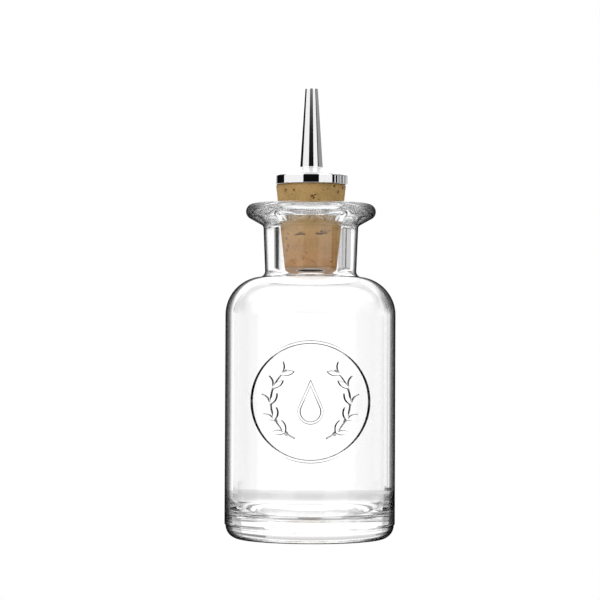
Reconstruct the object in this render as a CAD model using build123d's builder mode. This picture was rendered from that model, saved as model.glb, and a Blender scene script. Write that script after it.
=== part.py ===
from build123d import *
import math
import os

# The bottle stands on Z = 0 with its axis on Z and its medallion facing -Y. All sizes are in mm.

# Bottle body and base
body_diameter = 50.5
body_wall = 2.35
straight_top_height = 66.25
shoulder_radius = 11.3
heel_radius = 4.1
heel_step = 0.3
standing_ring_width = 2.4
push_up_height = 2.4
push_up_flat_diameter = 14.0
floor_height = 6.6
floor_corner_width = 3.9
floor_corner_height = 9.0
floor_dome_height = 1.0

# Neck and lip
neck_top_diameter = 28.2
neck_root_diameter = 27.0
neck_root_fillet = 1.75
inner_shoulder_radius = 10.4
ceiling_thickness = 1.25
throat_radius = 4.0
lip_diameter = 38.6
neck_length = 21.65
lip_edge_radius = 2.3
lip_flare_angle = 29.0
lip_root_fillet = 1.2
mouth_depth = 2.9
mouth_slope_angle = 66.0
mouth_rim_radius = 2.0
mouth_root_radius = 1.5

# Medallion on the front of the body
medallion_diameter = 35.2
medallion_height = 41.0
relief_height = 0.8
relief_root_depth = 0.5
ring_width = 1.0
drop_radius = 3.7
drop_length = 13.0
drop_line_width = 0.9
wreath_radius = 11.4
wreath_stem_width = 0.5
leaf_length = 4.0
leaf_width = 1.5
leaf_pairs = 5
first_leaf_share = 0.6
wreath_start_angle = -66.0
wreath_end_angle = 52.0
leaf_spread_angle = 34.0

# Cork
cork_top_diameter = 20.8
cork_bottom_diameter = 15.5
cork_length = 24.5
cork_above_lip = 5.7
cork_edge_radius = 0.4
cork_mouth_clearance = 0.15

# Dasher: cap, spout and stem
cap_diameter = 22.2
cap_rim_height = 2.9
cap_cone_height = 2.0
cap_edge_radius = 0.8
cap_lower_edge_radius = 0.12
spout_length = 23.9
spout_tip_diameter = 3.9
spout_foot_diameter = 7.1
spout_skirt_width = 0.7
spout_skirt_thickness = 0.08
spout_foot_fillet = 0.4
outlet_diameter = 2.2
outlet_length = 8.0
spigot_diameter = 6.4
spigot_bore_diameter = 4.8
stem_bore_diameter = 8.0
stem_wall = 0.4
stem_seat_depth = 1.8
seat_clearance = 0.05

# Sizes that follow from the ones above
body_radius = body_diameter / 2
inner_radius = body_radius - body_wall
shoulder_centre_radius = body_radius - shoulder_radius
ceiling_height = straight_top_height + shoulder_radius - ceiling_thickness
lip_top_height = straight_top_height + shoulder_radius + neck_length

cork_top_height = lip_top_height + cork_above_lip
cork_bottom_height = cork_top_height - cork_length
cork_slope = (cork_top_diameter - cork_bottom_diameter) / 2 / cork_length
bore_top_height = lip_top_height - mouth_depth
cork_seat_radius = cork_bottom_diameter / 2 + cork_slope * (bore_top_height - cork_bottom_height)
bore_radius = cork_seat_radius + cork_mouth_clearance

stem_radius = stem_bore_diameter / 2 + stem_wall
stem_top_height = cork_top_height + stem_seat_depth
cap_rim_top_height = cork_top_height + cap_rim_height
cap_top_height = cap_rim_top_height + cap_cone_height
spout_foot_radius = spout_foot_diameter / 2
spout_skirt_radius = spout_foot_radius + spout_skirt_width
spout_tip_height = cap_top_height + spout_length

bottom_centred = (Align.CENTER, Align.CENTER, Align.MIN)
os.makedirs("parts", exist_ok=True)

# Medallion relief: a raised ring round a drop between two leafy sprigs, cut from a thin round shell
medallion_radius = medallion_diameter / 2
drop_tip_length = drop_length - drop_radius
drop_centre_height = medallion_height - (drop_tip_length - drop_radius) / 2
drop_side_angle = math.acos(drop_radius / drop_tip_length)
drop_side = drop_radius * math.sin(drop_side_angle)
drop_side_height = drop_centre_height + drop_radius * math.cos(drop_side_angle)
wreath_sweep = wreath_end_angle - wreath_start_angle

with BuildSketch() as leaf:
    with BuildLine():
        ThreePointArc((0, 0), (leaf_length / 2, leaf_width / 2), (leaf_length, 0))
        ThreePointArc((leaf_length, 0), (leaf_length / 2, -leaf_width / 2), (0, 0))
    make_face()

with BuildPart() as medallion:
    with BuildSketch(Plane.XZ):
        with Locations((0, medallion_height)):
            Circle(medallion_radius)
            Circle(medallion_radius - ring_width, mode=Mode.SUBTRACT)
    extrude(amount=body_diameter)
    with BuildSketch(Plane.XZ):
        with BuildLine():
            ThreePointArc(
                (drop_side, drop_side_height),
                (0, drop_centre_height - drop_radius),
                (-drop_side, drop_side_height),
            )
            Polyline(
                (-drop_side, drop_side_height),
                (0, drop_centre_height + drop_tip_length),
                (drop_side, drop_side_height),
            )
        make_face()
        offset(amount=-drop_line_width, mode=Mode.SUBTRACT)
    extrude(amount=body_diameter)
    with BuildSketch(Plane.XZ):
        with BuildLine():
            CenterArc((0, medallion_height), wreath_radius, wreath_start_angle, wreath_sweep)
        trace(line_width=wreath_stem_width)
        for pair in range(leaf_pairs):
            angle = wreath_start_angle + wreath_sweep * (pair + first_leaf_share) / leaf_pairs
            across = wreath_radius * math.cos(math.radians(angle))
            height = medallion_height + wreath_radius * math.sin(math.radians(angle))
            for spread in (-leaf_spread_angle, leaf_spread_angle):
                with Locations(Location((across, height), angle + 90 + spread)):
                    add(leaf.sketch)
        mirror(about=Plane.YZ)
    extrude(amount=body_diameter)
    with BuildSketch(Plane.XY.offset(medallion_height - medallion_diameter)):
        Circle(body_radius + relief_height)
        Circle(body_radius - relief_root_depth, mode=Mode.SUBTRACT)
    extrude(amount=2 * medallion_diameter, mode=Mode.INTERSECT)

# Glass bottle: one turned section, drawn from the underside round to the inner floor
ring_outer_radius = body_radius - heel_step - heel_radius
ring_inner_radius = ring_outer_radius - standing_ring_width
push_up_flat_radius = push_up_flat_diameter / 2
neck_root_offset = neck_root_diameter / 2 - shoulder_centre_radius
neck_root = (
    neck_root_diameter / 2,
    straight_top_height + math.sqrt(shoulder_radius**2 - neck_root_offset**2),
)
shoulder_sweep = math.degrees(math.acos(neck_root_offset / shoulder_radius))
flare_slope = math.radians(lip_flare_angle)
lip_edge_centre = (lip_diameter / 2 - lip_edge_radius, lip_top_height - lip_edge_radius)
flare_end = (
    lip_edge_centre[0] + lip_edge_radius * math.sin(flare_slope),
    lip_edge_centre[1] - lip_edge_radius * math.cos(flare_slope),
)
flare_root = (
    neck_top_diameter / 2,
    flare_end[1] - (flare_end[0] - neck_top_diameter / 2) * math.tan(flare_slope),
)
mouth_rim = (bore_radius + mouth_depth * math.tan(math.radians(mouth_slope_angle)), lip_top_height)
mouth_root = (bore_radius, bore_top_height)
shoulder_centre = (shoulder_centre_radius, straight_top_height)
inner_shoulder_centre = (inner_radius - inner_shoulder_radius, ceiling_height - inner_shoulder_radius)
throat_offset = bore_radius + throat_radius - inner_shoulder_centre[0]
throat_rise = math.sqrt((inner_shoulder_radius + throat_radius) ** 2 - throat_offset**2)
throat_centre = (inner_shoulder_centre[0] + throat_offset, inner_shoulder_centre[1] + throat_rise)
throat_sweep = math.degrees(math.atan2(throat_rise, throat_offset))
corner_centre = (inner_radius - floor_corner_width, floor_height + floor_corner_height)
dome_radius = (corner_centre[0] ** 2 + floor_dome_height**2) / (2 * floor_dome_height)
dome_sweep = math.degrees(math.asin(corner_centre[0] / dome_radius))
dome_top_height = floor_height + floor_dome_height

with BuildPart() as glass_bottle:
    with BuildSketch(Plane.XZ) as section:
        with BuildLine():
            Line((0, push_up_height), (push_up_flat_radius, push_up_height))
            TangentArc((push_up_flat_radius, push_up_height), (ring_inner_radius, 0), tangent=(1, 0))
            Line((ring_inner_radius, 0), (ring_outer_radius, 0))
            CenterArc((ring_outer_radius, heel_radius), heel_radius, -90, 90)
            Polyline(
                (ring_outer_radius + heel_radius, heel_radius),
                (body_radius, heel_radius + heel_step),
                (body_radius, straight_top_height),
            )
            CenterArc(shoulder_centre, shoulder_radius, 0, shoulder_sweep)
            Polyline(neck_root, flare_root, flare_end)
            CenterArc(lip_edge_centre, lip_edge_radius, lip_flare_angle - 90, 180 - lip_flare_angle)
            Polyline(
                (lip_edge_centre[0], lip_top_height),
                mouth_rim,
                mouth_root,
                (bore_radius, throat_centre[1]),
            )
            CenterArc(throat_centre, throat_radius, 180, throat_sweep)
            CenterArc(inner_shoulder_centre, inner_shoulder_radius, throat_sweep, -throat_sweep)
            Line((inner_radius, inner_shoulder_centre[1]), (inner_radius, corner_centre[1]))
            EllipticalCenterArc(corner_centre, floor_corner_width, floor_corner_height, 0, arc_size=-90)
            CenterArc((0, dome_top_height - dome_radius), dome_radius, 90 - dome_sweep, dome_sweep)
            Line((0, dome_top_height), (0, push_up_height))
        make_face()
        for corner, radius in (
            (neck_root, neck_root_fillet),
            (flare_root, lip_root_fillet),
            (mouth_rim, mouth_rim_radius),
            (mouth_root, mouth_root_radius),
        ):
            fillet(section.vertices().sort_by_distance(corner)[0], radius)
    revolve(axis=Axis.Z)
    add(medallion.part)

glass_bottle.part.label = "glass_bottle"
export_step(glass_bottle.part, "parts/glass_bottle.step")

# Cork: a straight taper with a hole for the stem
with BuildPart(Plane.XY.offset(cork_bottom_height)) as cork_stopper:
    Cone(cork_bottom_diameter / 2, cork_top_diameter / 2, cork_length, align=bottom_centred)
    rims = cork_stopper.edges().filter_by(GeomType.CIRCLE)
    fillet(rims, cork_edge_radius)
    Hole(stem_radius + seat_clearance)

cork_stopper.part.label = "cork_stopper"
export_step(cork_stopper.part, "parts/cork_stopper.step")

# Cap: a disc with a straight rim and a low cone, a hole for the spout and a seat for the stem
with BuildPart() as dasher_cap:
    with BuildSketch(Plane.XZ) as cap_section:
        with BuildLine():
            Polyline(
                (stem_radius + seat_clearance, cork_top_height),
                (cap_diameter / 2, cork_top_height),
                (cap_diameter / 2, cap_rim_top_height),
                (spout_skirt_radius, cap_top_height),
                (spigot_diameter / 2 + seat_clearance, cap_top_height),
                (spigot_diameter / 2 + seat_clearance, stem_top_height),
                (stem_radius + seat_clearance, stem_top_height),
                close=True,
            )
        make_face()
        for rim_height, radius in (
            (cork_top_height, cap_lower_edge_radius),
            (cap_rim_top_height, cap_edge_radius),
        ):
            rim_corner = (cap_diameter / 2, rim_height)
            fillet(cap_section.vertices().sort_by_distance(rim_corner)[0], radius)
    revolve(axis=Axis.Z)

dasher_cap.part.label = "dasher_cap"
export_step(dasher_cap.part, "parts/dasher_cap.step")

# Spout: a slim cone that flares into a thin skirt on the cap, with a spigot through the cap
spout_corner = (spout_foot_radius, cap_top_height + spout_skirt_thickness)

with BuildPart() as pour_spout:
    with BuildSketch(Plane.XZ) as spout_section:
        with BuildLine():
            Polyline(
                (spigot_bore_diameter / 2, stem_top_height),
                (spigot_diameter / 2, stem_top_height),
                (spigot_diameter / 2, cap_top_height),
                (spout_skirt_radius, cap_top_height),
                (spout_skirt_radius, cap_top_height + spout_skirt_thickness),
                spout_corner,
                (spout_tip_diameter / 2, spout_tip_height),
                (outlet_diameter / 2, spout_tip_height),
                (outlet_diameter / 2, spout_tip_height - outlet_length),
                (spigot_bore_diameter / 2, cap_top_height),
                close=True,
            )
        make_face()
        fillet(spout_section.vertices().sort_by_distance(spout_corner)[0], spout_foot_fillet)
    revolve(axis=Axis.Z)

pour_spout.part.label = "pour_spout"
export_step(pour_spout.part, "parts/pour_spout.step")

# Stem: a thin tube from the seat in the cap to the lower face of the cork
with BuildPart() as stem_tube:
    with BuildSketch(Plane.XY.offset(cork_bottom_height)):
        Circle(stem_radius)
        Circle(stem_bore_diameter / 2, mode=Mode.SUBTRACT)
    extrude(amount=stem_top_height - cork_bottom_height)

stem_tube.part.label = "stem_tube"
export_step(stem_tube.part, "parts/stem_tube.step")
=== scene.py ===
import math

import bmesh
import bpy
import numpy as np
from mathutils import Euler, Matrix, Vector
from mathutils.geometry import delaunay_2d_cdt


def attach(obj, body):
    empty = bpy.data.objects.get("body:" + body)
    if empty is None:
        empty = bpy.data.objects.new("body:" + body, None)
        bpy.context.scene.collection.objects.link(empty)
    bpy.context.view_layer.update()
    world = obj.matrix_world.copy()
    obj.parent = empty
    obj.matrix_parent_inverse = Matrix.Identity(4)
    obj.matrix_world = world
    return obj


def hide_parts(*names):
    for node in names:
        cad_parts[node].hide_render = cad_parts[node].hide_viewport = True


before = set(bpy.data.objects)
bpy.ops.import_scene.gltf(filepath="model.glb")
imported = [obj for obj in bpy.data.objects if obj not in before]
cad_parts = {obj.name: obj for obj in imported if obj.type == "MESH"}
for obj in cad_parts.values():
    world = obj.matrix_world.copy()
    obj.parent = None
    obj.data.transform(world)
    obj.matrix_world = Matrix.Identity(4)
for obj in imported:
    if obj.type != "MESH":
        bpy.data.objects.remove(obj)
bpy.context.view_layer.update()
scene = bpy.context.scene
scene.view_settings.view_transform = "Standard"

# Lengths are named in millimetres and angles in degrees; meshes are made in metres.
MM = 0.001

# Bottle body and base
body_radius = 25.25
body_wall = 2.35
straight_top_height = 66.25
shoulder_radius = 11.3
heel_radius = 4.1
heel_step = 0.3
standing_ring_width = 2.4
standing_ring_edge_radius = 0.35
push_up_height = 2.4
push_up_flat_radius = 7.0
floor_height = 6.6
floor_corner_width = 3.9
floor_corner_height = 9.0
floor_corner_softness = 0.85
floor_dome_height = 1.0

# Neck and lip
neck_top_radius = 14.1
neck_root_radius = 13.5
neck_root_fillet = 1.75
inner_shoulder_radius = 10.4
ceiling_height = 76.3
throat_radius = 4.0
lip_radius = 19.3
lip_top_height = 99.2
lip_edge_radius = 2.3
lip_flare_angle = 29.0
lip_root_fillet = 1.2
mouth_depth = 2.9
mouth_slope_angle = 66.0
mouth_rim_radius = 2.0
mouth_root_radius = 1.5
cork_mouth_clearance = 0.15

# Medallion on the front of the body
medallion_height = 41.0
medallion_radius = 17.6
medallion_margin = 0.6
relief_height = 0.8
relief_draft = 0.2
relief_clear_strip = 0.12
ring_width = 1.0
drop_radius = 3.7
drop_length = 13.0
drop_line_width = 0.9
wreath_radius = 11.4
wreath_stem_width = 0.5
leaf_length = 4.0
leaf_width = 1.5
leaf_pairs = 5
first_leaf_share = 0.6
wreath_start_angle = -66.0
wreath_end_angle = 52.0
leaf_spread_angle = 34.0

# Cork
cork_top_radius = 10.4
cork_bottom_radius = 7.75
cork_top_height = 104.9
cork_length = 24.5
cork_edge_radius = 0.4
cork_pitch = 0.16
cork_columns = 400
cork_grain = 0.03
cork_seed = 7
# Pits and cracks: angle from the front, height, half length, half height, turn and depth
cork_marks = (
    (1.5, 100.9, 0.35, 0.5, -35, 0.4), (4.5, 100.5, 0.3, 0.45, 30, 0.45), (6.5, 101.3, 0.55, 0.2, 20, 0.3),
    (-0.5, 101.3, 0.3, 0.15, 0, 0.2), (-49.0, 102.6, 0.3, 0.6, 5, 0.35), (-30.0, 102.8, 0.4, 0.35, 30, 0.3),
    (53.0, 102.4, 0.45, 0.5, 10, 0.35), (42.0, 104.1, 0.45, 0.4, 0, 0.5), (67.0, 103.9, 0.6, 0.45, 0, 0.5),
    (27.0, 103.0, 0.2, 0.15, 0, 0.2), (-25.0, 89.7, 0.7, 0.2, 4, 0.4), (-19.0, 89.9, 0.9, 0.28, -4, 0.5),
    (-13.0, 89.8, 0.6, 0.16, 8, 0.35), (-17.0, 90.4, 0.4, 0.14, 8, 0.25), (11.0, 90.0, 0.5, 0.2, 6, 0.4),
    (16.0, 89.9, 0.7, 0.32, -8, 0.5), (21.0, 90.1, 0.8, 0.28, 6, 0.5), (27.0, 90.2, 0.7, 0.2, 8, 0.45),
    (33.0, 90.9, 0.6, 0.14, 14, 0.25), (18.5, 90.7, 0.3, 0.3, 20, 0.35), (24.0, 90.8, 0.4, 0.12, 0, 0.25),
    (-50.0, 88.7, 0.4, 0.3, 0, 0.35), (-47.0, 86.6, 0.25, 0.5, 0, 0.3), (-52.0, 85.2, 0.3, 0.3, 0, 0.3),
    (52.0, 91.6, 0.3, 0.5, 0, 0.35), (45.0, 82.0, 0.4, 0.25, 0, 0.3), (-16.0, 83.4, 0.9, 0.1, -30, 0.16),
    (-7.0, 82.6, 0.9, 0.1, -22, 0.16), (3.0, 82.0, 1.0, 0.1, -14, 0.14), (-44.0, 90.0, 0.3, 0.2, 0, 0.3),
    (-40.0, 82.2, 0.7, 0.5, 0, 0.1),
)
# Small pits all round. Their length, height and depth are shares of a size, and their turns are in radians.
small_pit_count = 150
small_pit_sizes = (0.1, 0.26)
small_pit_bottom_gap = 1.0
small_pit_top_gap = 0.6
small_pit_length_shares = (1, 1.8)
small_pit_height_shares = (0.6, 1)
small_pit_turns = (-0.6, 0.6)
small_pit_depth_share = 0.9
# Cracks at the back. Their places are in half turns from the front, and their turns are in radians.
back_crack_count = 16
back_crack_places = (0.4, 1.6)
back_crack_bottom_gap = 2.0
back_crack_top_gap = 1.0
back_crack_half_lengths = (0.5, 1.7)
back_crack_half_heights = (0.16, 0.34)
back_crack_turns = (-0.3, 0.3)
back_crack_depths = (0.3, 0.6)
# A mark's ragged edge is made of waves, each with its height as a share and its count.
mark_bend = (0.2, 5)
mark_ripples = ((0.3, 5), (0.25, 11))
last_wave_start = 6
mark_edge_steepness = 2
cork_side_tolerance = 0.06
# Pits and cracks get painted shade in their hollows that grows with their depth and is full from this depth
full_pit_shade_depth = 0.3

# Dasher: cap, spout and stem
cap_radius = 11.1
cap_rim_height = 2.9
cap_cone_height = 2.0
cap_edge_radius = 0.8
cap_lower_edge_radius = 0.12
spout_length = 23.9
spout_tip_radius = 1.95
spout_tip_edge_radius = 0.3
spout_foot_radius = 3.55
spout_skirt_width = 0.7
spout_skirt_thickness = 0.08
spout_foot_fillet = 0.4
outlet_radius = 1.1
outlet_length = 8.0
spigot_radius = 3.2
spigot_bore_radius = 2.4
stem_bore_radius = 4.0
stem_wall = 0.4
stem_seat_depth = 1.8
seat_clearance = 0.05

# Places that follow from the sizes. The angle of the drop's side is in radians.
cork_taper = (cork_top_radius - cork_bottom_radius) / cork_length
bore_top_height = lip_top_height - mouth_depth
bore_radius = cork_top_radius - (cork_top_height - bore_top_height) * cork_taper + cork_mouth_clearance
mouth_radius = bore_radius + mouth_depth * math.tan(math.radians(mouth_slope_angle))
inner_radius = body_radius - body_wall
medallion_reach = medallion_radius + medallion_margin
drop_tip_length = drop_length - drop_radius
drop_centre_height = medallion_height - (drop_tip_length - drop_radius) / 2
drop_side_angle = math.acos(drop_radius / drop_tip_length)
wreath_sweep = wreath_end_angle - wreath_start_angle
cork_bottom_height = cork_top_height - cork_length
stem_radius = stem_bore_radius + stem_wall
stem_top_height = cork_top_height + stem_seat_depth
cap_rim_top_height = cork_top_height + cap_rim_height
cap_top_height = cap_rim_top_height + cap_cone_height
spout_skirt_radius = spout_foot_radius + spout_skirt_width
spout_tip_height = cap_top_height + spout_length

# Mesh fineness: steps are angles along an arc, and pitches are lengths
same_place = 0.001
cut_tolerance = 0.0001
fewest_arc_points = 3
arc_step = 5.0
fine_arc_step = 1.5
lip_edge_step = 4.0
floor_corner_step = 3.0
floor_dome_step = 1.0
medallion_ring_step = 2.0
sprig_end_step = 45.0
small_round_step = 15.0
metal_round_step = 8.0
line_pitch = 6.0
short_pitch = 2.0
inner_wall_pitch = 3.0
heel_step_pitch = 0.1
cork_bottom_pitch = 0.6
line_end = 0.03
relief_pitch = 0.6
rise_snap = 0.02
leaf_side_points = 9
glass_column_angle = 1.8
metal_columns = 160
tube_sharp_angle = 40.0


def arc(centre, radius, start, sweep, step=arc_step):
    """Points along an arc, about one step of degrees apart."""
    count = max(fewest_arc_points, math.ceil(abs(sweep) / step) + 1)
    angles = np.radians(np.linspace(start, start + sweep, count))
    return [(centre[0] + radius * math.cos(a), centre[1] + radius * math.sin(a)) for a in angles]


def arc_between(centre, start, end, step=arc_step):
    """Points of the shorter arc from start to end about a centre."""
    first = math.degrees(math.atan2(start[1] - centre[1], start[0] - centre[0]))
    last = math.degrees(math.atan2(end[1] - centre[1], end[0] - centre[0]))
    sweep = (last - first + 180) % 360 - 180
    return arc(centre, math.dist(start, centre), first, sweep, step)


def rounded(before, corner, after, radius, step=arc_step):
    """Points of the arc that rounds a corner between two straight lines."""
    back = (Vector(before) - Vector(corner)).normalized()
    onward = (Vector(after) - Vector(corner)).normalized()
    half = back.angle(onward) / 2
    centre = Vector(corner) + (back + onward).normalized() * radius / math.sin(half)
    start = Vector(corner) + back * radius / math.tan(half)
    end = Vector(corner) + onward * radius / math.tan(half)
    return arc_between(centre, start, end, step)


def line(start, end, pitch=line_pitch):
    """Points along a straight line, about one pitch apart. A line that is long enough gets a short piece
    at each end, which keeps its shading straight."""
    length = math.dist(start, end)
    shares = np.linspace(0, 1, max(2, math.ceil(length / pitch) + 1))
    if length > 3 * line_end:
        shares = np.sort([*shares, line_end / length, 1 - line_end / length])
    return [(start[0] + (end[0] - start[0]) * s, start[1] + (end[1] - start[1]) * s) for s in shares]


def joined(*pieces):
    """One outline from several, without the points that two of them share."""
    points = []
    for piece in pieces:
        for point in piece:
            if not points or math.dist(points[-1], point) > same_place:
                points.append((float(point[0]), float(point[1])))
    return points


def even_columns(count):
    """Angles spaced evenly round the axis."""
    return np.linspace(0, 2 * math.pi, count, endpoint=False)


def new_object(name, mesh):
    piece = bpy.data.objects.new(name, mesh)
    scene.collection.objects.link(piece)
    return piece


def turned_mesh(name, outline, columns, closed=False):
    """A piece turned about Z. The outline is (radius, height) in millimetres, and it runs from axis to axis
    or is closed. A column is an angle from the front, -Y, towards +X."""
    outline = np.array(outline)
    count = len(columns)
    radius, height = outline[:, 0:1], outline[:, 1:2]
    angle = np.asarray(columns)[None, :]
    grid = np.stack([radius * np.sin(angle), -radius * np.cos(angle), height + 0 * angle], axis=-1)
    vertices, faces, first = [], [], []
    on_axis = outline[:, 0] < same_place
    for row in range(len(outline)):
        first.append(len(vertices))
        if on_axis[row]:
            vertices.append((0.0, 0.0, outline[row, 1]))
        else:
            vertices.extend(map(tuple, grid[row]))
    rows = list(range(len(outline)))
    pairs = list(zip(rows, rows[1:])) + ([(rows[-1], rows[0])] if closed else [])
    for low, high in pairs:
        a, b = first[low], first[high]
        for c in range(count):
            d = (c + 1) % count
            if on_axis[low]:
                faces.append((a, b + d, b + c))
            elif on_axis[high]:
                faces.append((a + c, a + d, b))
            else:
                faces.append((a + c, a + d, b + d, b + c))
    mesh = bpy.data.meshes.new(name)
    mesh.from_pydata([Vector(v) * MM for v in vertices], [], faces)
    mesh.shade_smooth()
    return new_object(name, mesh)


# Medallion relief. Its shapes are drawn flat, across and up the front, and then wrapped onto the wall.
# A function whose name ends in inside says how far a place lies inside a shape, and is below zero outside it.
def ring_inside(x, z):
    from_edge = np.hypot(x, z - medallion_height) - medallion_radius
    return ring_width / 2 - np.abs(from_edge + ring_width / 2)


def drop_inside(x, z):
    x, up = np.abs(x), z - drop_centre_height
    along_side = up * math.sin(drop_side_angle) - x * math.cos(drop_side_angle)
    from_side = up * math.cos(drop_side_angle) + x * math.sin(drop_side_angle)
    outside = np.where(along_side > 0, from_side, np.hypot(x, up)) - drop_radius
    return np.minimum(-outside, drop_line_width + outside)


def leaf_places():
    """Where each leaf of the right sprig starts and the way that it points."""
    for pair in range(leaf_pairs):
        place = math.radians(wreath_start_angle + wreath_sweep * (pair + first_leaf_share) / leaf_pairs)
        root = (wreath_radius * math.cos(place), medallion_height + wreath_radius * math.sin(place))
        for spread in (-leaf_spread_angle, leaf_spread_angle):
            yield root, place + math.radians(90 + spread)


def wreath_inside(x, z):
    x, up = np.abs(x), z - medallion_height
    angle = np.degrees(np.arctan2(up, x))
    past_end = np.maximum(wreath_start_angle - angle, angle - wreath_end_angle)
    from_stem = np.hypot(np.hypot(x, up) - wreath_radius, wreath_radius * np.radians(np.maximum(past_end, 0)))
    inside = wreath_stem_width / 2 - from_stem
    for root, turn in leaf_places():
        along = (x - root[0]) * math.cos(turn) + (z - root[1]) * math.sin(turn)
        across = (z - root[1]) * math.cos(turn) - (x - root[0]) * math.sin(turn)
        half_width = leaf_width / 2 * (1 - (2 * along / leaf_length - 1) ** 2)
        inside = np.maximum(inside, half_width - np.abs(across))
    return inside


def relief_inside(x, z):
    return np.maximum(np.maximum(ring_inside(x, z), drop_inside(x, z)), wreath_inside(x, z))


def leaf_outline(root, turn, inset):
    reach = math.sqrt(1 - 2 * inset / leaf_width)
    middles = np.linspace(-reach, reach, leaf_side_points)
    half_widths = leaf_width / 2 * (1 - middles**2) - inset
    along = np.concatenate([middles, middles[-2:0:-1]]) * leaf_length / 2 + leaf_length / 2
    across = np.concatenate([half_widths, -half_widths[-2:0:-1]])
    return [
        (root[0] + a * math.cos(turn) - c * math.sin(turn), root[1] + a * math.sin(turn) + c * math.cos(turn))
        for a, c in zip(along, across)
    ]


def sprig_stem_outline(inset):
    centre, half = (0, medallion_height), wreath_stem_width / 2 - inset
    middle = arc(centre, wreath_radius, wreath_start_angle, wreath_sweep)
    return joined(
        arc(centre, wreath_radius + half, wreath_start_angle, wreath_sweep),
        arc(middle[-1], half, wreath_end_angle, 180, sprig_end_step),
        arc(centre, wreath_radius - half, wreath_end_angle, -wreath_sweep),
        arc(middle[0], half, wreath_start_angle + 180, 180, sprig_end_step),
    )[:-1]


def relief_outlines():
    """Closed outlines of the relief's foot and, a little further in, of its crown."""
    round_start = 90 - math.degrees(drop_side_angle)
    outlines = []
    for inset in (0, relief_draft):
        for radius in (medallion_radius - inset, medallion_radius - ring_width + inset):
            outlines.append(arc((0, medallion_height), radius, 0, 360, medallion_ring_step)[:-1])
        for radius in (drop_radius - inset, drop_radius - drop_line_width + inset):
            tip = (0, drop_centre_height + radius / math.cos(drop_side_angle))
            outlines.append(arc((0, drop_centre_height), radius, round_start, -180 - 2 * round_start) + [tip])
        sprig = [sprig_stem_outline(inset), *(leaf_outline(*place, inset) for place in leaf_places())]
        outlines += sprig + [[(-x, z) for x, z in outline] for outline in sprig]
    return outlines


def relief_patch(across, up):
    """The medallion's part of the wall: its corners (x, y, z), its triangles, and whether each is level."""
    points, edges = [], []

    def add_loop(loop):
        first = len(points)
        points.extend(loop)
        edges.extend((first + n, first + (n + 1) % len(loop)) for n in range(len(loop)))

    add_loop(
        [(x, up[0]) for x in across[:-1]] + [(across[-1], z) for z in up[:-1]]
        + [(x, up[-1]) for x in across[:0:-1]] + [(across[0], z) for z in up[:0:-1]]
    )
    for outline in relief_outlines():
        add_loop(outline)
    inner_x, inner_z = (grid.ravel() for grid in np.meshgrid(across[1:-1], up[1:-1]))
    inside = relief_inside(inner_x, inner_z)
    clear = (inside < -relief_clear_strip) | (inside > relief_draft + relief_clear_strip)
    points.extend(zip(inner_x[clear], inner_z[clear]))
    flat_points = [Vector(p) for p in points]
    corners, _, triangles, *_ = delaunay_2d_cdt(flat_points, edges, [], 0, cut_tolerance, False)
    x, z = np.array([c[:] for c in corners]).T
    rise = np.clip(relief_inside(x, z) / relief_draft, 0, 1)
    rise = np.where(rise < rise_snap, 0, np.where(rise > 1 - rise_snap, 1, rise))
    angle = np.arcsin(np.clip(x / body_radius, -1, 1))
    radius = body_radius + relief_height * rise
    places = np.stack([radius * np.sin(angle), -radius * np.cos(angle), z], axis=-1)
    level = [len({rise[c] for c in triangle}) == 1 for triangle in triangles]
    return places, triangles, level


# Glass bottle
def medallion_rows():
    """Heights of the rows of wall behind the medallion."""
    count = math.ceil(2 * medallion_reach / relief_pitch) + 1
    return np.linspace(medallion_height - medallion_reach, medallion_height + medallion_reach, count)


def foot_outline():
    """Outline from the middle of the underside, out over the standing ring and up round the heel."""
    ring_outer = body_radius - heel_step - heel_radius
    ring_inner = ring_outer - standing_ring_width
    reach = ring_inner - push_up_flat_radius
    push_up_radius = (reach**2 + push_up_height**2) / (2 * push_up_height)
    push_up_sweep = math.degrees(math.asin(reach / push_up_radius))
    push_up_centre = (push_up_flat_radius, push_up_height - push_up_radius)
    push_up = arc(push_up_centre, push_up_radius, 90, -push_up_sweep, fine_arc_step)
    heel_top = (body_radius, heel_radius + heel_step)
    return joined(
        [(0, push_up_height)],
        push_up[:-1],
        rounded(push_up[-2], (ring_inner, 0), (ring_outer, 0), standing_ring_edge_radius, small_round_step),
        arc((ring_outer, heel_radius), heel_radius, -90, 90),
        line((ring_outer + heel_radius, heel_radius), heel_top, heel_step_pitch),
    )


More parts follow.
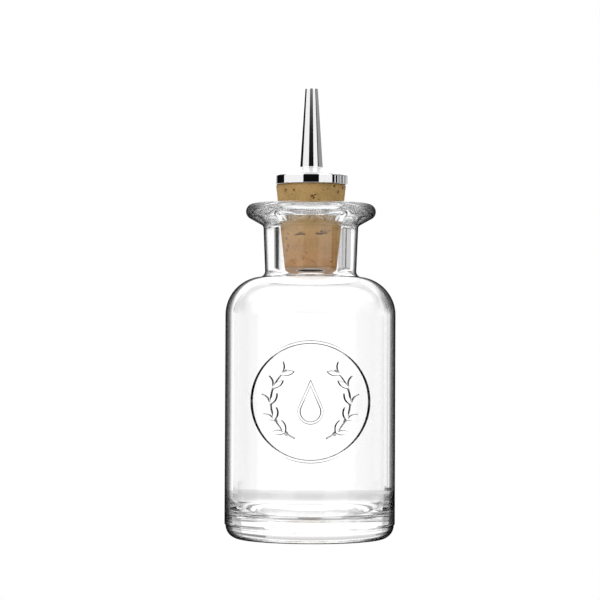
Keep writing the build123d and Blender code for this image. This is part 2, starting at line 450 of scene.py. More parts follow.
def neck_outline():
    """Outline from the straight wall over the shoulder, up the neck and round the lip's edge.
    The fillet at the neck's root touches the shoulder's circle and the neck's slanted line."""
    shoulder_centre = Vector((body_radius - shoulder_radius, straight_top_height))
    edge_centre = (lip_radius - lip_edge_radius, lip_top_height - lip_edge_radius)
    lip_edge = arc(edge_centre, lip_edge_radius, lip_flare_angle - 90, 180 - lip_flare_angle, lip_edge_step)
    flare_out, flare_top = lip_edge[0]
    flare_drop = (flare_out - neck_top_radius) * math.tan(math.radians(lip_flare_angle))
    flare_root = Vector((neck_top_radius, flare_top - flare_drop))
    root_offset = neck_root_radius - shoulder_centre.x
    root_rise = math.sqrt(shoulder_radius**2 - root_offset**2)
    neck_root = Vector((neck_root_radius, shoulder_centre.y + root_rise))
    up = (flare_root - neck_root).normalized()
    out = Vector((up.y, -up.x))
    from_shoulder = neck_root + out * neck_root_fillet - shoulder_centre
    reach = shoulder_radius + neck_root_fillet
    half = from_shoulder.dot(up)
    climb = -half + math.sqrt(half**2 - from_shoulder.length_squared + reach**2)
    fillet_centre = shoulder_centre + from_shoulder + up * climb
    shoulder_end = shoulder_centre + (fillet_centre - shoulder_centre) * shoulder_radius / reach
    neck_start = fillet_centre - out * neck_root_fillet
    lip_root = rounded(neck_start, flare_root, lip_edge[0], lip_root_fillet)
    return joined(
        arc_between(shoulder_centre, (body_radius, straight_top_height), shoulder_end, fine_arc_step),
        arc_between(fillet_centre, shoulder_end, neck_start),
        line(neck_start, lip_root[0]),
        lip_root,
        line(lip_root[-1], lip_edge[0], short_pitch),
        lip_edge,
    )


def bottle_outside():
    """Outline from the middle of the underside, out and up, to the top of the lip."""
    rows = medallion_rows()
    return joined(
        foot_outline(),
        line((body_radius, heel_radius + heel_step), (body_radius, rows[0])),
        [(body_radius, z) for z in rows],
        line((body_radius, rows[-1]), (body_radius, straight_top_height)),
        neck_outline(),
    )


def bottle_inside():
    """Outline from the top of the lip, down the bore and the wall, to the middle of the floor."""
    mouth_corner = (mouth_radius, lip_top_height)
    bore_corner = (bore_radius, bore_top_height)
    mouth_rim = rounded((lip_radius, lip_top_height), mouth_corner, bore_corner, mouth_rim_radius)
    mouth_root = rounded(mouth_corner, bore_corner, (bore_radius, 0), mouth_root_radius)
    corner_centre = (inner_radius - floor_corner_width, floor_height + floor_corner_height)
    shoulder_centre = np.array((inner_radius - inner_shoulder_radius, ceiling_height - inner_shoulder_radius))
    reach = inner_shoulder_radius + throat_radius
    aside = bore_radius + throat_radius - shoulder_centre[0]
    throat_centre = shoulder_centre + (aside, math.sqrt(reach**2 - aside**2))
    meeting = shoulder_centre + (throat_centre - shoulder_centre) * inner_shoulder_radius / reach
    dome_radius = (corner_centre[0]**2 + floor_dome_height**2) / (2 * floor_dome_height)
    dome_sweep = math.degrees(math.asin(corner_centre[0] / dome_radius))
    dome_centre = (0, floor_height + floor_dome_height - dome_radius)
    quarter = [(max(x, 0), max(-z, 0)) for x, z in arc((0, 0), 1, 0, -90, floor_corner_step)]
    return joined(
        line((lip_radius - lip_edge_radius, lip_top_height), mouth_rim[0], short_pitch),
        mouth_rim,
        mouth_root,
        line(mouth_root[-1], (bore_radius, throat_centre[1]), short_pitch),
        arc_between(throat_centre, (bore_radius, throat_centre[1]), meeting),
        arc_between(shoulder_centre, meeting, (inner_radius, shoulder_centre[1]), fine_arc_step),
        line((inner_radius, shoulder_centre[1]), (inner_radius, corner_centre[1]), inner_wall_pitch),
        [
            (
                corner_centre[0] + floor_corner_width * out**floor_corner_softness,
                corner_centre[1] - floor_corner_height * down**floor_corner_softness,
            )
            for out, down in quarter
        ],
        arc(dome_centre, dome_radius, 90 - dome_sweep, dome_sweep, floor_dome_step),
    )


def make_bottle():
    outside = bottle_outside()
    outline = joined(outside, bottle_inside())
    zone = math.asin(medallion_reach / body_radius)
    fine = math.ceil(2 * zone * body_radius / relief_pitch)
    coarse = math.ceil(math.degrees(2 * math.pi - 2 * zone) / glass_column_angle)
    columns = np.concatenate([
        np.linspace(-zone, zone, fine, endpoint=False),
        np.linspace(zone, 2 * math.pi - zone, coarse, endpoint=False),
    ])

    piece = turned_mesh("bottle_glass", outline, columns)
    piece.data.materials.append(glass_material("bottle_glass_outside", True))
    piece.data.materials.append(glass_material("bottle_glass_inside", False))
    inside = np.zeros(len(piece.data.polygons), np.int32)
    inside[(len(outside) - 1) * len(columns):] = 1
    piece.data.polygons.foreach_set("material_index", inside)
    add_relief(piece, columns[:fine + 1])
    return piece


def add_relief(piece, angles):
    """Cuts the medallion's place out of the wall and fills it with the relief."""
    rows = medallion_rows()
    low, high = rows[0], rows[-1]
    places, triangles, level = relief_patch(body_radius * np.sin(angles), rows)
    steep_kind, level_kind = 1, 2
    mesh = bmesh.new()
    mesh.from_mesh(piece.data)

    def in_place(face):
        x, y, z = face.calc_center_median() / MM
        return face.material_index == 0 and low < z < high and abs(math.atan2(x, -y)) < angles[-1]

    bmesh.ops.delete(mesh, geom=[face for face in mesh.faces if in_place(face)], context="FACES")
    border = [vertex for vertex in mesh.verts if vertex.is_boundary]
    corners = [mesh.verts.new(Vector(place) * MM) for place in places]
    kind = mesh.faces.layers.int.new("kind")
    for triangle, flat in zip(triangles, level):
        face = mesh.faces.new([corners[c] for c in triangle])
        face.smooth = True
        face[kind] = level_kind if flat else steep_kind
    bmesh.ops.remove_doubles(mesh, verts=border + corners, dist=same_place * MM)
    bmesh.ops.recalc_face_normals(mesh, faces=mesh.faces)
    for edge in mesh.edges:
        edge.smooth = len({face[kind] == steep_kind for face in edge.link_faces}) == 1
    mesh.to_mesh(piece.data)
    mesh.free()

    attributes = piece.data.attributes
    kinds = np.empty(len(piece.data.polygons), np.int32)
    attributes["kind"].data.foreach_get("value", kinds)
    # Marks the relief's steep walls; the glass material gives them painted shade
    steep = (kinds == steep_kind).astype(np.float32)
    attributes.new("steep_wall", "FLOAT", "FACE").data.foreach_set("value", steep)
    normals = [corner.vector.copy() for corner in piece.data.corner_normals]
    for face in piece.data.polygons:
        if kinds[face.index] == level_kind:
            for loop in face.loop_indices:
                x, y, z = piece.data.vertices[piece.data.loops[loop].vertex_index].co
                normals[loop] = Vector((x, y, 0)).normalized()
    piece.data.normals_split_custom_set(normals)
    attributes.remove(attributes["kind"])


# Stopper
def make_cork():
    low, high = cork_bottom_height, cork_top_height
    bottom_rim = (cork_bottom_radius, low)
    top_rim = (cork_top_radius, high)
    hole = stem_radius + seat_clearance
    bottom_round = rounded((hole, low), bottom_rim, top_rim, cork_edge_radius, small_round_step)
    top_round = rounded(bottom_rim, top_rim, (hole, high), cork_edge_radius, small_round_step)
    outline = joined(
        line((hole, low), bottom_round[0], cork_bottom_pitch),
        bottom_round,
        line(bottom_round[-1], top_round[0], cork_pitch),
        top_round,
        line(top_round[-1], (hole, high), short_pitch),
    )
    piece = turned_mesh("cork_body", outline, even_columns(cork_columns), closed=True)
    sink_marks(piece)
    piece.data.materials.append(cork_material())
    return piece


def cork_mark_places():
    """Every mark as angle, height, half length, half height, turn and depth, with its angles in radians."""
    marks = [(math.radians(a), z, u, v, math.radians(turn), depth) for a, z, u, v, turn, depth in cork_marks]
    low, high = cork_bottom_height, cork_top_height
    chance = np.random.default_rng(cork_seed)
    for _ in range(small_pit_count):
        size = chance.uniform(*small_pit_sizes)
        marks.append((
            chance.uniform(-math.pi, math.pi),
            chance.uniform(low + small_pit_bottom_gap, high - small_pit_top_gap),
            size * chance.uniform(*small_pit_length_shares),
            size * chance.uniform(*small_pit_height_shares),
            chance.uniform(*small_pit_turns),
            size * small_pit_depth_share,
        ))
    for _ in range(back_crack_count):
        marks.append((
            chance.uniform(*back_crack_places) * math.pi,
            chance.uniform(low + back_crack_bottom_gap, high - back_crack_top_gap),
            chance.uniform(*back_crack_half_lengths),
            chance.uniform(*back_crack_half_heights),
            chance.uniform(*back_crack_turns),
            chance.uniform(*back_crack_depths),
        ))
    return marks


def random_wave(along, wave, chance):
    share, count = wave
    return share * np.sin(count * along + chance.uniform(0, last_wave_start))


def sink_marks(piece):
    """Sinks the pits and cracks into the cork's side and keeps how dark each place is: their own dark brown
    together with painted shade in their hollows, which grows with depth.
    """
    mesh = piece.data
    places = np.empty(len(mesh.vertices) * 3, np.float32)
    mesh.vertices.foreach_get("co", places)
    places = places.reshape(-1, 3) / MM
    radius, up = np.hypot(places[:, 0], places[:, 1]), places[:, 2]
    angle = np.arctan2(places[:, 0], -places[:, 1])
    side = cork_bottom_radius + (up - cork_bottom_height) * cork_taper
    on_side = np.abs(radius - side) < cork_side_tolerance
    sunk, dark = np.zeros(len(radius)), np.zeros(len(radius))
    chance = np.random.default_rng(cork_seed + 1)
    for place, height, half_length, half_height, turn, depth in cork_mark_places():
        across = ((angle - place + math.pi) % (2 * math.pi) - math.pi) * radius
        rise = up - height
        u = (across * math.cos(turn) + rise * math.sin(turn)) / half_length
        v = (rise * math.cos(turn) - across * math.sin(turn)) / half_height
        v = v + random_wave(u, mark_bend, chance)
        around = np.arctan2(v, u)
        ragged = 1
        for ripple in mark_ripples:
            ragged = ragged + random_wave(around, ripple, chance)
        inside = np.clip((1 - np.hypot(u, v) * ragged) * mark_edge_steepness, 0, 1)
        inside = inside * inside * (3 - 2 * inside)
        sunk = np.maximum(sunk, depth * inside)
        # The pits' own dark brown and painted shade, darker the deeper the mark is
        dark = np.maximum(dark, inside * min(1, depth / full_pit_shade_depth))
    grain = chance.uniform(0, cork_grain, len(radius))
    sunk = np.where(on_side, sunk + grain, 0)
    places[:, :2] *= (1 - sunk / radius)[:, None]
    mesh.vertices.foreach_set("co", (places * MM).ravel())
    mesh.attributes.new("dark_mark", "FLOAT", "POINT").data.foreach_set("value", np.where(on_side, dark, 0))


def make_cap():
    bore = stem_radius + seat_clearance
    neck = spigot_radius + seat_clearance
    low_rim = (cap_radius, cork_top_height)
    high_rim = (cap_radius, cap_rim_top_height)
    top = (spout_skirt_radius, cap_top_height)
    low_round = rounded((bore, cork_top_height), low_rim, high_rim, cap_lower_edge_radius, small_round_step)
    high_round = rounded(low_rim, high_rim, top, cap_edge_radius, metal_round_step)
    outline = joined(
        line((bore, cork_top_height), low_round[0]),
        low_round,
        line(low_round[-1], high_round[0]),
        high_round,
        line(high_round[-1], top, short_pitch),
        line(top, (neck, cap_top_height)),
        line((neck, cap_top_height), (neck, stem_top_height)),
        line((neck, stem_top_height), (bore, stem_top_height)),
        line((bore, stem_top_height), (bore, cork_top_height))[:-1],
    )
    piece = turned_mesh("chrome_cap", outline, even_columns(metal_columns), closed=True)
    piece.data.materials.append(chrome_material("chrome_plate", band_roughness, cone_roughness))
    return piece


def make_spout():
    corner = (spout_foot_radius, cap_top_height + spout_skirt_thickness)
    tip = (spout_tip_radius, spout_tip_height)
    skirt_top = (spout_skirt_radius, corner[1])
    outlet_foot = (outlet_radius, spout_tip_height - outlet_length)
    foot = rounded(skirt_top, corner, tip, spout_foot_fillet, metal_round_step)
    tip_round = rounded(corner, tip, (0, spout_tip_height), spout_tip_edge_radius, small_round_step)
    outline = joined(
        [(spigot_bore_radius, stem_top_height), (spigot_radius, stem_top_height)],
        line((spigot_radius, cap_top_height), (spout_skirt_radius, cap_top_height)),
        [skirt_top],
        foot,
        line(foot[-1], tip_round[0], short_pitch),
        tip_round,
        line((outlet_radius, spout_tip_height), outlet_foot),
        line(outlet_foot, (spigot_bore_radius, cap_top_height)),
    )
    piece = turned_mesh("chrome_spout", outline, even_columns(metal_columns), closed=True)
    piece.data.materials.append(chrome_material("spout_chrome", spout_roughness, spout_roughness))
    return piece


def tube_tree():
    """A node tree that sweeps an upright wall section round a circle."""
    tree = bpy.data.node_groups.new("straight_tube", "GeometryNodeTree")
    tree.interface.new_socket("Geometry", in_out="OUTPUT", socket_type="NodeSocketGeometry")
    for name in ("Middle Radius", "Wall", "Length", "Middle Height"):
        tree.interface.new_socket(name, in_out="INPUT", socket_type="NodeSocketFloat")
    tree.interface.new_socket("Columns", in_out="INPUT", socket_type="NodeSocketInt")
    tree.interface.new_socket("Material", in_out="INPUT", socket_type="NodeSocketMaterial")
    sizes = tree.nodes.new("NodeGroupInput").outputs

    def add(kind, output, settings=None, **feeds):
        """Adds a node, feeds its sockets and returns one output."""
        node = tree.nodes.new(kind)
        for key, value in (settings or {}).items():
            setattr(node, key, value)
        for key, feed in feeds.items():
            tree.links.new(feed, node.inputs[key.replace("_", " ")])
        return node.outputs[output]

    circle = add(
        "GeometryNodeCurvePrimitiveCircle", "Curve",
        Resolution=sizes["Columns"], Radius=sizes["Middle Radius"],
    )
    level = add("GeometryNodeSetCurveNormal", "Curve", {"mode": "Z_UP"}, Curve=circle)
    section = add(
        "GeometryNodeCurvePrimitiveQuadrilateral", "Curve",
        Width=sizes["Wall"], Height=sizes["Length"],
    )
    swept = add("GeometryNodeCurveToMesh", "Mesh", Curve=level, Profile_Curve=section)
    lift = add("ShaderNodeCombineXYZ", "Vector", Z=sizes["Middle Height"])
    raised = add("GeometryNodeSetPosition", "Geometry", Geometry=swept, Offset=lift)
    real = add("GeometryNodeRealizeInstances", "Geometry", Geometry=raised)
    finished = add("GeometryNodeSetMaterial", "Geometry", Geometry=real, Material=sizes["Material"])
    tree.links.new(finished, tree.nodes.new("NodeGroupOutput").inputs["Geometry"])
    return tree


def make_stem():
    host = new_object("stem_host", bpy.data.meshes.new("stem_host"))
    modifier = host.modifiers.new("tube", "NODES")
    modifier.node_group = tube_tree()
    sizes = {
        "Middle Radius": (stem_radius + stem_bore_radius) / 2 * MM,
        "Wall": stem_wall * MM,
        "Length": (stem_top_height - cork_bottom_height) * MM,
        "Middle Height": (stem_top_height + cork_bottom_height) / 2 * MM,
        "Columns": metal_columns,
        "Material": steel_material(),
    }
    for socket in modifier.node_group.interface.items_tree:
        if socket.in_out == "INPUT":
            modifier[socket.identifier] = sizes[socket.name]
    made = host.evaluated_get(bpy.context.evaluated_depsgraph_get())
    mesh = bpy.data.meshes.new_from_object(made)
    mesh.name = "steel_stem"
    host.modifiers.clear()
    bpy.data.objects.remove(host)
    mesh.shade_smooth()
    mesh.set_sharp_from_angle(angle=math.radians(tube_sharp_angle))
    return new_object("steel_stem", mesh)


# Materials
class Value:
    """A socket that can be used in arithmetic; each operation adds a Math node."""

    def __init__(self, finish, socket):
        self.finish = finish
        self.socket = socket

    def apply(self, operation, *others):
        return self.finish.node("ShaderNodeMath", {"operation": operation}, [self, *others])

    def __add__(self, other):
        return self.apply("ADD", other)

    def __sub__(self, other):
        return self.apply("SUBTRACT", other)

    def __rsub__(self, other):
        return self.finish.node("ShaderNodeMath", {"operation": "SUBTRACT"}, [other, self])

    def __mul__(self, other):
        return self.apply("MULTIPLY", other)

    __radd__ = __add__
    __rmul__ = __mul__


class Finish:
    """The node tree of one material or world."""

    def __init__(self, owner):
        owner.use_nodes = True
        self.owner = owner
        self.tree = owner.node_tree
        self.tree.nodes.clear()

    def node(self, kind, settings=None, inputs=(), output=0):
        """Adds a node, sets it, feeds its sockets by place or name, and returns one output."""
        made = self.tree.nodes.new(kind)
        for key, value in (settings or {}).items():
            if key == "stops":
                set_stops(made.color_ramp, value)
            else:
                setattr(made, key, value)
        pairs = inputs.items() if isinstance(inputs, dict) else enumerate(inputs)
        for key, value in pairs:
            if isinstance(value, Value):
                self.tree.links.new(value.socket, made.inputs[key])
            else:
                made.inputs[key].default_value = value
        return Value(self, made.outputs[output])

    def place(self):
        """Where a point of the piece lies, in metres."""
        return self.node("ShaderNodeTexCoord", {}, {}, "Object")

    def along(self, vector, axis):
        return self.node("ShaderNodeSeparateXYZ", {}, [vector], axis)

    def vector_maths(self, operation, *vectors, output="Vector"):
        return self.node("ShaderNodeVectorMath", {"operation": operation}, vectors, output)

    def direction(self, *parts):
        """A unit vector from its parts along X, Y and, where it has one, Z."""
        return self.vector_maths("NORMALIZE", self.node("ShaderNodeCombineXYZ", {}, parts))

    def ray(self, kind):
        """One where a ray is of this kind, and zero elsewhere."""
        return self.node("ShaderNodeLightPath", {}, {}, f"Is {kind} Ray")

    def spread(self, value, start, end, low=0.0, high=1.0, interpolation="LINEAR"):
        """Runs from low to high as a value goes from start to end."""
        return self.node("ShaderNodeMapRange", {"interpolation_type": interpolation}, {
            "Value": value, "From Min": start, "From Max": end, "To Min": low, "To Max": high,
        })

    def soft_spread(self, value, start, end, low=0.0, high=1.0):
        return self.spread(value, start, end, low, high, "SMOOTHSTEP")

    def noise(self, place, scale, detail, roughness=0.5):
        return self.node("ShaderNodeTexNoise", {}, {
            "Vector": place, "Scale": scale, "Detail": detail, "Roughness": roughness,
        })

    def mixed(self, factor, first, second, blend="MIX"):
        """Two colours mixed by a factor."""
        inputs = {0: factor, 6: first, 7: second}
        return self.node("ShaderNodeMix", {"data_type": "RGBA", "blend_type": blend}, inputs, 2)

    def bump(self, strength, distance, height):
        return self.node("ShaderNodeBump", {}, {"Strength": strength, "Distance": distance, "Height": height})

    def surface(self, shader, kind="ShaderNodeOutputMaterial"):
        out = self.tree.nodes.new(kind)
        self.tree.links.new(shader.socket, out.inputs["Surface"])
        return self.owner


def set_stops(ramp, stops):
    """Puts a colour ramp's stops at the given places."""
    while len(ramp.elements) < len(stops):
        ramp.elements.new(1)
    for element, (place, colour) in zip(ramp.elements, stops):
        element.position = place
        element.color = (*colour, 1)


glass_ior = 1.52
glass_roughness = 0.0
glass_tint = (1.0, 1.0, 1.0, 1)
# Colour of the painted shade at the glass's edges
painted_edge_shade = (0, 0, 0, 1)
even_blend = 0.5
rim_upright_share = 0.4
# Painted shade on the glass: how much of the outer face is left clear of it, by how far the face is turned
# away from the eye: below the lip and on it
rim_stops = (
    (0.540, 1.0), (0.580, 0.97), (0.615, 0.84), (0.645, 0.46), (0.680, 0.23),
    (0.715, 0.14), (0.760, 0.085), (0.815, 0.03), (0.890, 0.008),
)
lip_stops = (
    (0.0, 0.86), (0.12, 0.84), (0.24, 0.74), (0.36, 0.56),
    (0.5, 0.38), (0.62, 0.22), (0.75, 0.1), (0.9, 0.02),
)
lip_start_height = 90.0
lip_full_height = 93.5
# Painted shade on the relief's steep walls
steep_wall_painted_shade = 0.65


def clear_of_painted_shade(finish, facing, stops):
    """How much of the glass is left clear of the painted edge shade where a surface that faces this way is
    seen.
    """
    turned = finish.node("ShaderNodeLayerWeight", {}, {"Blend": even_blend, "Normal": facing}, "Facing")
    stops = [(place, (clear_share, clear_share, clear_share)) for place, clear_share in stops]
    return finish.node("ShaderNodeValToRGB", {"stops": stops}, {"Fac": turned})


def glass_material(name, paints_rim_shade):
    """Clear glass that lets lamp light through; to the camera the outside also carries painted shade, black
    where it is seen edge on, on the lip and on the relief's steep walls.
    """
    finish = Finish(bpy.data.materials.new(name))
    glass = finish.node("ShaderNodeBsdfPrincipled", {}, {
        "Base Color": glass_tint, "Roughness": glass_roughness, "IOR": glass_ior, "Transmission Weight": 1.0,
    })
    shader = glass
    if paints_rim_shade:
        normal = finish.node("ShaderNodeNewGeometry", {}, {}, "Normal")
        east, north, up = (finish.along(normal, axis) for axis in "XYZ")
        less_up = up.apply("MINIMUM", up * rim_upright_share)
        clear_share = clear_of_painted_shade(finish, finish.direction(east, north, less_up), rim_stops)
        lip_clear_share = clear_of_painted_shade(finish, finish.direction(east, north), lip_stops)
        height = finish.along(finish.place(), "Z")
        on_lip = finish.soft_spread(height, lip_start_height * MM, lip_full_height * MM)
        steep = finish.node("ShaderNodeAttribute", {"attribute_name": "steep_wall"}, {}, "Fac")
        # Painted shade: to the camera, the glass is mixed with black at its edges, on its lip and on the
        # relief's steep walls
        clear_share = (clear_share + on_lip * (lip_clear_share - clear_share)) * (1 - steep * steep_wall_painted_shade)
        edge = finish.node("ShaderNodeBsdfDiffuse", {}, {"Color": painted_edge_shade})
        shader = finish.node("ShaderNodeMixShader", {}, [finish.ray("Camera") * (1 - clear_share), glass, edge])
    passing = finish.ray("Shadow").apply("MAXIMUM", finish.ray("Diffuse"))
    clear = finish.node("ShaderNodeBsdfTransparent")
    return finish.surface(finish.node("ShaderNodeMixShader", {}, [passing, shader, clear]))


cork_dark = (0.46, 0.28, 0.09)
cork_middle = (0.62, 0.40, 0.15)
cork_warm = (0.68, 0.42, 0.16)
cork_light = (0.76, 0.54, 0.23)
cork_fleck = (0.36, 0.18, 0.06, 1)
# Multiplied in to make the cork darker and redder towards the bottom
cork_lower_tint = (0.95, 0.74, 0.64, 1)
# Dark brown of the pits and cracks, with painted shade in their hollows
cork_pit_tone_and_shade = (0.15, 0.05, 0.012, 1)
cork_tones = ((0.30, cork_dark), (0.47, cork_middle), (0.56, cork_warm), (0.70, cork_light))
cork_patch_scale = 170.0
cork_patch_detail = 3.0
cork_patch_share = 0.55
cork_grain_scale = 1500.0
cork_grain_detail = 4.0
cork_grain_roughness = 0.6
cork_cell_scale = 1100.0
# The cork turns darker and redder towards the bottom, below these heights
lower_tint_start_height = 98.0
lower_tint_full_height = 80.0
lower_tint_wander = 6.0
middle_tone = 0.5
fleck_core = 0.08
fleck_reach = 0.3
fleck_strength = 0.3
mark_darkness = 0.9
cork_bump_strength = 0.35
cork_bump_depth = 0.1
cork_roughness = (0.7, 0.95)


def cork_material():
    """Mottled cork with flecks, a darker, reddish lower end, and dark pits whose colour is their own dark
    brown and painted shade in their hollows.
    """
    finish = Finish(bpy.data.materials.new("natural_cork"))
    place = finish.place()
    patches = finish.noise(place, cork_patch_scale, cork_patch_detail)
    grain = finish.noise(place, cork_grain_scale, cork_grain_detail, cork_grain_roughness)
    cells = finish.node("ShaderNodeTexVoronoi", {}, {"Vector": place, "Scale": cork_cell_scale}, "Distance")
    tone = patches * cork_patch_share + grain * (1 - cork_patch_share)
    colour = finish.node("ShaderNodeValToRGB", {"stops": cork_tones}, {"Fac": tone})
    # Darker and redder towards the bottom
    height = finish.along(place, "Z") + (patches - middle_tone) * (lower_tint_wander * MM)
    lower_tinted = finish.soft_spread(height, lower_tint_start_height * MM, lower_tint_full_height * MM)
    colour = finish.mixed(lower_tinted, colour, cork_lower_tint, "MULTIPLY")
    flecks = finish.spread(cells, fleck_core, fleck_reach, fleck_strength, 0.0)
    colour = finish.mixed(flecks * grain, colour, cork_fleck)
    # Pits and cracks: their own dark brown and painted shade in their hollows
    mark = finish.node("ShaderNodeAttribute", {"attribute_name": "dark_mark"}, {}, "Fac")
    colour = finish.mixed(mark * mark_darkness, colour, cork_pit_tone_and_shade)
    return finish.surface(finish.node("ShaderNodeBsdfPrincipled", {}, {
        "Base Color": colour,
        "Roughness": finish.spread(grain, 0.0, 1.0, *cork_roughness),
        "Normal": finish.bump(cork_bump_strength, cork_bump_depth * MM, grain),
    }))


chrome_light = (0.95, 0.95, 0.955, 1)
chrome_dark = (0.90, 0.90, 0.91, 1)
chrome_wear = 0.02
chrome_wear_scale = 320.0
chrome_wear_detail = 4.0
chrome_wave_scale = 130.0
chrome_wave_detail = 1.0
chrome_wave_strength = 0.25
chrome_wave_depth = 0.05
upward_start = 0.5
upward_full = 0.9
band_roughness = 0.02
cone_roughness = 0.35
spout_roughness = 0.05


def chrome_material(name, side_roughness, top_roughness):
    """Polished chrome with faint wear and waves, and another finish on the parts that face up."""
    finish = Finish(bpy.data.materials.new(name))
    place = finish.place()
    wear = finish.noise(place, chrome_wear_scale, chrome_wear_detail)
    upward = finish.along(finish.node("ShaderNodeNewGeometry", {}, {}, "Normal"), "Z")
    facing_up = finish.soft_spread(upward, upward_start, upward_full)
    waves = finish.noise(place, chrome_wave_scale, chrome_wave_detail)
    return finish.surface(finish.node("ShaderNodeBsdfPrincipled", {}, {
        "Base Color": finish.mixed(wear, chrome_light, chrome_dark),
        "Metallic": 1.0,
        "Roughness": side_roughness + facing_up * (top_roughness - side_roughness) + wear * chrome_wear,
        "Normal": finish.bump(chrome_wave_strength, chrome_wave_depth * MM, waves),
    }))


steel_light = (0.6, 0.6, 0.6, 1)
# Painted shade in the stem's bore: its inner wall is black, and the shade fades out across the tube's ends
painted_bore_shade = (0.02, 0.014, 0.01, 1)
bore_shade_full_depth = 0.05
bore_shade_end_depth = 0.2
drawn_stretch = (1, 1, 0.05)
drawn_scale = 2500.0
drawn_detail = 3.0
steel_roughness = (0.22, 0.4)


def steel_material():
    """Drawn steel tube with painted shade in its bore: dull black inside."""
    finish = Finish(bpy.data.materials.new("stem_steel"))
    place = finish.place()
    across = finish.vector_maths("MULTIPLY", place, (1, 1, 0))
    radius = finish.vector_maths("LENGTH", across, output="Value")
    # Painted shade: black inside the bore, steel outside it
    outside = finish.spread(
        radius, (stem_bore_radius + bore_shade_full_depth) * MM, (stem_bore_radius + bore_shade_end_depth) * MM
    )
    drawn = finish.vector_maths("MULTIPLY", place, drawn_stretch)
    streaks = finish.noise(drawn, drawn_scale, drawn_detail)
    return finish.surface(finish.node("ShaderNodeBsdfPrincipled", {}, {
        "Base Color": finish.mixed(outside, painted_bore_shade, steel_light),
        "Metallic": outside,
        "Roughness": finish.spread(streaks, 0.0, 1.0, *steel_roughness),
    }))


# Camera, where the photograph was taken from
camera_place = (-3.07, -690.0, 55.5)
camera_pitch = 1.26
camera_roll = -0.25
camera_lens = 139.35
camera_sensor = 36.0
nearest_seen = 10.0


def make_camera():
    data = bpy.data.cameras.new("photo_camera")
    data.lens = camera_lens
    data.sensor_width = camera_sensor
    data.clip_start = nearest_seen * MM
    camera = new_object("photo_camera", data)
    camera.location = Vector(camera_place) * MM
    camera.rotation_euler = Euler((math.radians(90 + camera_pitch), math.radians(camera_roll), 0))
    scene.camera = camera
    bpy.context.view_layer.update()
    return camera


# Light goes many times to and fro inside the glass
light_bounces = 32

# Studio light panels. They turn with the camera, as if the bottle stood on a turntable.
panel_distance = 1010.0
widest_part = 20.0
back_light = 1.13
front_light = 0.95
body_heights = (-200.0, 105.0)
edge_heights = (-45.0, 105.0)
neck_heights = (105.0, 165.0)
back_heights = (-110.0, 165.0)
back_edge_heights = (edge_heights[0], neck_heights[1])
wall_heights = (-400.0, 150.0)
upper_heights = (165.0, 1400.0)
strip_heights = (165.0, 215.0)
smooth_heights = (215.0, 420.0)
high_heights = (smooth_heights[1], upper_heights[1])
# The light over the camera grows upwards: each step's lowest and highest edge and its radiance
camera_gap_angles = (-24, 24)
camera_gap_steps = (
    (352.0, 360.0, 0.006), (360.0, 368.0, 0.02), (368.0, 377.0, 0.05),
    (377.0, 383.0, 0.1), (383.0, 400.0, 0.25),
)
# Each panel's name, the angles that it fills from the camera's side towards the right, radiance and heights
panels = (
    ("back_panel", 157, 226, back_light, back_heights),
    ("right_edge_panel", 139, 157, back_light, back_edge_heights),
    ("right_edge_soft_panel", 125, 139, 0.6, edge_heights),
    ("left_edge_soft_panel", 226, 240, 0.6, edge_heights),
    ("body_front_panel", -75, 52, front_light, body_heights),
    ("neck_right_panel", 112, 139, 0.75, neck_heights),
    ("upper_back_panel", 157, 222, back_light, upper_heights),
    ("left_front_panel", -91, -24, front_light, upper_heights),
    ("right_front_panel", 24, 68, front_light, upper_heights),
    ("neck_left_front_panel", -46, -25, front_light, neck_heights),
    ("neck_right_front_panel", 20, 37, front_light, neck_heights),
    ("neck_left_soft_panel", 226, 238, 0.9, neck_heights),
    *(("camera_gap_panel", *camera_gap_angles, light, (low, high)) for low, high, light in camera_gap_steps),
    ("right_side_wall", 82, 157, 0.06, wall_heights),
    ("left_side_wall", 226, 278, 0.04, wall_heights),
    ("upper_left_panel", 222, 230, 0.5, upper_heights),
    ("upper_right_panel", 131, 157, 0.6, strip_heights),
    ("spout_right_panel", 80, 157, 0.3, smooth_heights),
    ("high_right_panel", 131, 157, 0.6, high_heights),
    ("right_strip_one", 77, 81, 0.8, strip_heights),
    ("right_strip_two", 88, 94, 0.6, strip_heights),
    ("right_strip_three", 97, 108, 0.5, strip_heights),
    ("right_strip_four", 114, 126, 0.6, strip_heights),
)


def make_panel(camera, name, first_angle, last_angle, radiance, heights):
    """Area lights side by side. Their edges all stand equally far away, so that panels side by side
    leave no gap between them."""
    parts = math.ceil((last_angle - first_angle) / widest_part)
    angles = np.linspace(first_angle, last_angle, parts + 1)
    for part in range(parts):
        make_panel_part(camera, f"{name}_{part + 1}", angles[part], angles[part + 1], radiance, heights)


def make_panel_part(camera, name, first_angle, last_angle, radiance, heights):
    middle = math.radians((first_angle + last_angle) / 2)
    half = math.radians((last_angle - first_angle) / 2)
    distance = panel_distance * math.cos(half)
    width = 2 * panel_distance * math.sin(half) * MM
    height = (heights[1] - heights[0]) * MM
    data = bpy.data.lights.new(name, "AREA")
    data.shape = "RECTANGLE"
    data.size = width
    data.size_y = height
    data.energy = math.pi * width * height * radiance
    panel = new_object(name, data)
    panel.visible_camera = False
    panel.rotation_euler = Euler((math.radians(90), 0, middle))
    place = (math.sin(middle) * distance, -math.cos(middle) * distance, sum(heights) / 2)
    panel.location = Vector(place) * MM
    bpy.context.view_layer.update()
    world = panel.matrix_world.copy()
    panel.parent = camera
    panel.matrix_parent_inverse = camera.matrix_world.inverted()
    panel.matrix_world = world


floor_radius = 150.0
floor_gap = 0.4
floor_sides = 96
floor_roughness = 0.05
floor_gloss_near = 0.6
floor_gloss_far = 0.85
floor_near_radius = 40.0
floor_far_radius = 150.0


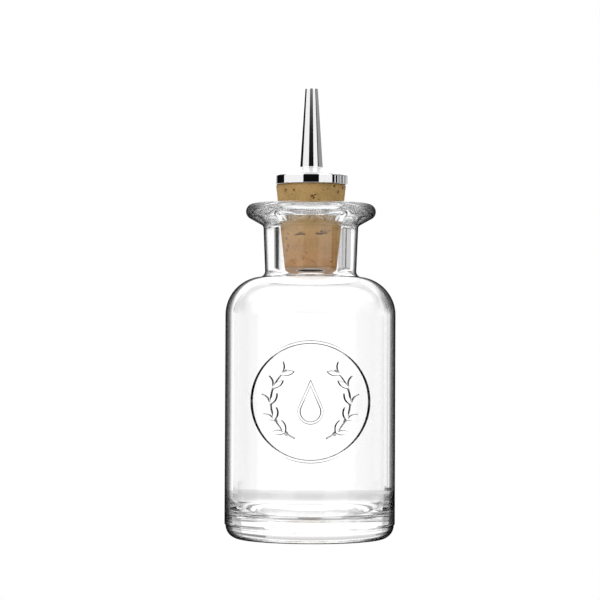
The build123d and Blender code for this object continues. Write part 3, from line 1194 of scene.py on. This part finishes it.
def make_floor():
    """A round white floor just below the bottle, whose gloss grows outwards."""
    corners = [
        Vector((floor_radius * math.cos(angle), floor_radius * math.sin(angle), -floor_gap)) * MM
        for angle in even_columns(floor_sides)
    ]
    mesh = bpy.data.meshes.new("floor")
    mesh.from_pydata(corners, [], [tuple(range(floor_sides))])
    finish = Finish(bpy.data.materials.new("white_floor"))
    white = finish.node("ShaderNodeEmission", {}, {"Color": (1, 1, 1, 1), "Strength": 1.0})
    radius = finish.vector_maths("LENGTH", finish.place(), output="Value")
    gloss = finish.spread(
        radius, floor_near_radius * MM, floor_far_radius * MM, floor_gloss_near, floor_gloss_far
    )
    polished = finish.node("ShaderNodeBsdfAnisotropic", {}, {"Color": gloss, "Roughness": floor_roughness})
    shader = finish.node("ShaderNodeMixShader", {}, [finish.ray("Camera"), polished, white])
    mesh.materials.append(finish.surface(shader))
    new_object("floor", mesh)


dark_room = 0.005
overhead_light = 0.8
underneath_light = 0.008
steep_start = 0.2
steep_full = 0.7


def make_world():
    """White to the camera. To everything else it is nearly dark around and light overhead and underneath."""
    scene.world = bpy.data.worlds.new("studio")
    finish = Finish(scene.world)
    upward = finish.along(finish.node("ShaderNodeTexCoord", {}, {}, "Generated"), "Z")
    above = finish.soft_spread(upward, steep_start, steep_full, dark_room, overhead_light)
    below = finish.soft_spread(0 - upward, steep_start, steep_full, dark_room, underneath_light)
    strength = above.apply("MAXIMUM", below).apply("MAXIMUM", finish.ray("Camera"))
    background = finish.node("ShaderNodeBackground", {}, {"Color": (1, 1, 1, 1), "Strength": strength})
    finish.surface(background, "ShaderNodeOutputWorld")


bottle = make_bottle()
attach(bottle, "bottle")
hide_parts("glass_bottle")

cork = make_cork()
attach(cork, "stopper")
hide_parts("cork_stopper")

cap = make_cap()
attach(cap, "stopper")
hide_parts("dasher_cap")

spout = make_spout()
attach(spout, "stopper")
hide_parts("pour_spout")

stem = make_stem()
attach(stem, "stopper")
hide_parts("stem_tube")

camera = make_camera()
make_floor()
make_world()
scene.cycles.max_bounces = light_bounces
scene.cycles.glossy_bounces = light_bounces
scene.cycles.transmission_bounces = light_bounces
for panel in panels:
    make_panel(camera, *panel)
